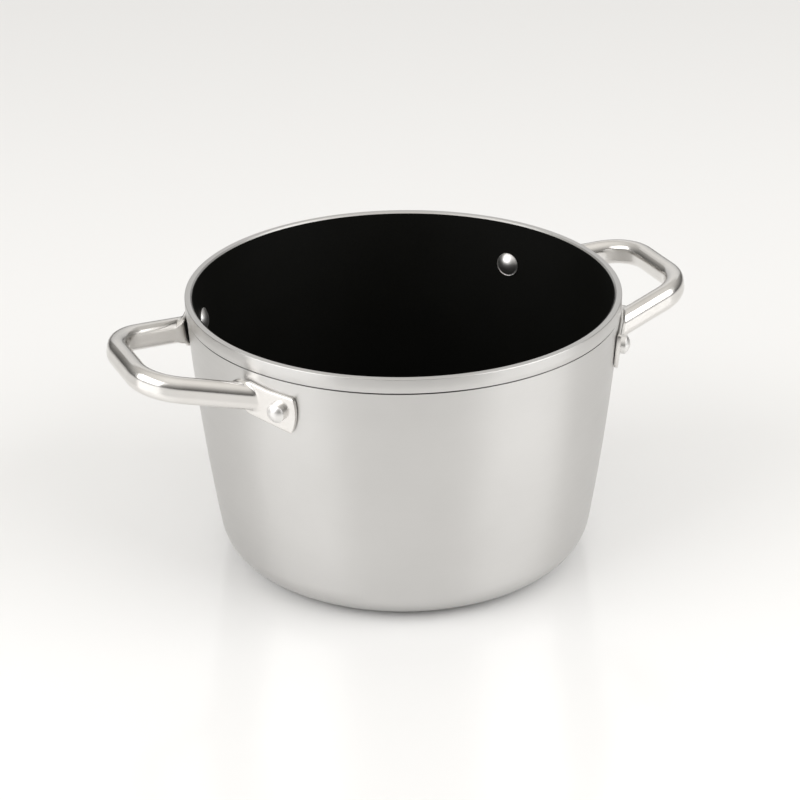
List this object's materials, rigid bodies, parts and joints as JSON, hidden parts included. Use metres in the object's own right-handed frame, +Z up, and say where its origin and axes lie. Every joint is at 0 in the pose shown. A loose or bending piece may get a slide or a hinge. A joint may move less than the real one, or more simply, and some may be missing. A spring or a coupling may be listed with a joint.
{
  "type": "stock pot",
  "caption": "Low, wide cooking pot with a tapered aluminium wall, black non-stick inside and riveted loop handles of bent steel tube.",
  "frame": {"origin": "centre of the flat base, on the surface the pot stands on", "axes": "+Z up along the pot's axis, +X through the right handle, -X through the left handle"},
  "size_m": [0.3454, 0.25, 0.1596],
  "materials": {
    "satin_aluminium": "satin metallic outside, finely turned rim",
    "nonstick_coating": "matte black non-stick coating",
    "magnetic_steel": "turned ferritic stainless steel",
    "polished_steel": "polished stainless steel",
    "rivet_steel": "polished stainless steel, slightly worn"
  },
  "bodies": {
    "root": {"pot_body": "satin_aluminium", "nonstick_lining": "nonstick_coating", "induction_base_disc": "magnetic_steel", "handle_left": "polished_steel", "handle_right": "polished_steel", "rivet_left_front": "rivet_steel", "rivet_left_rear": "rivet_steel", "rivet_right_front": "rivet_steel", "rivet_right_rear": "rivet_steel"}
  },
  "joints": []
}
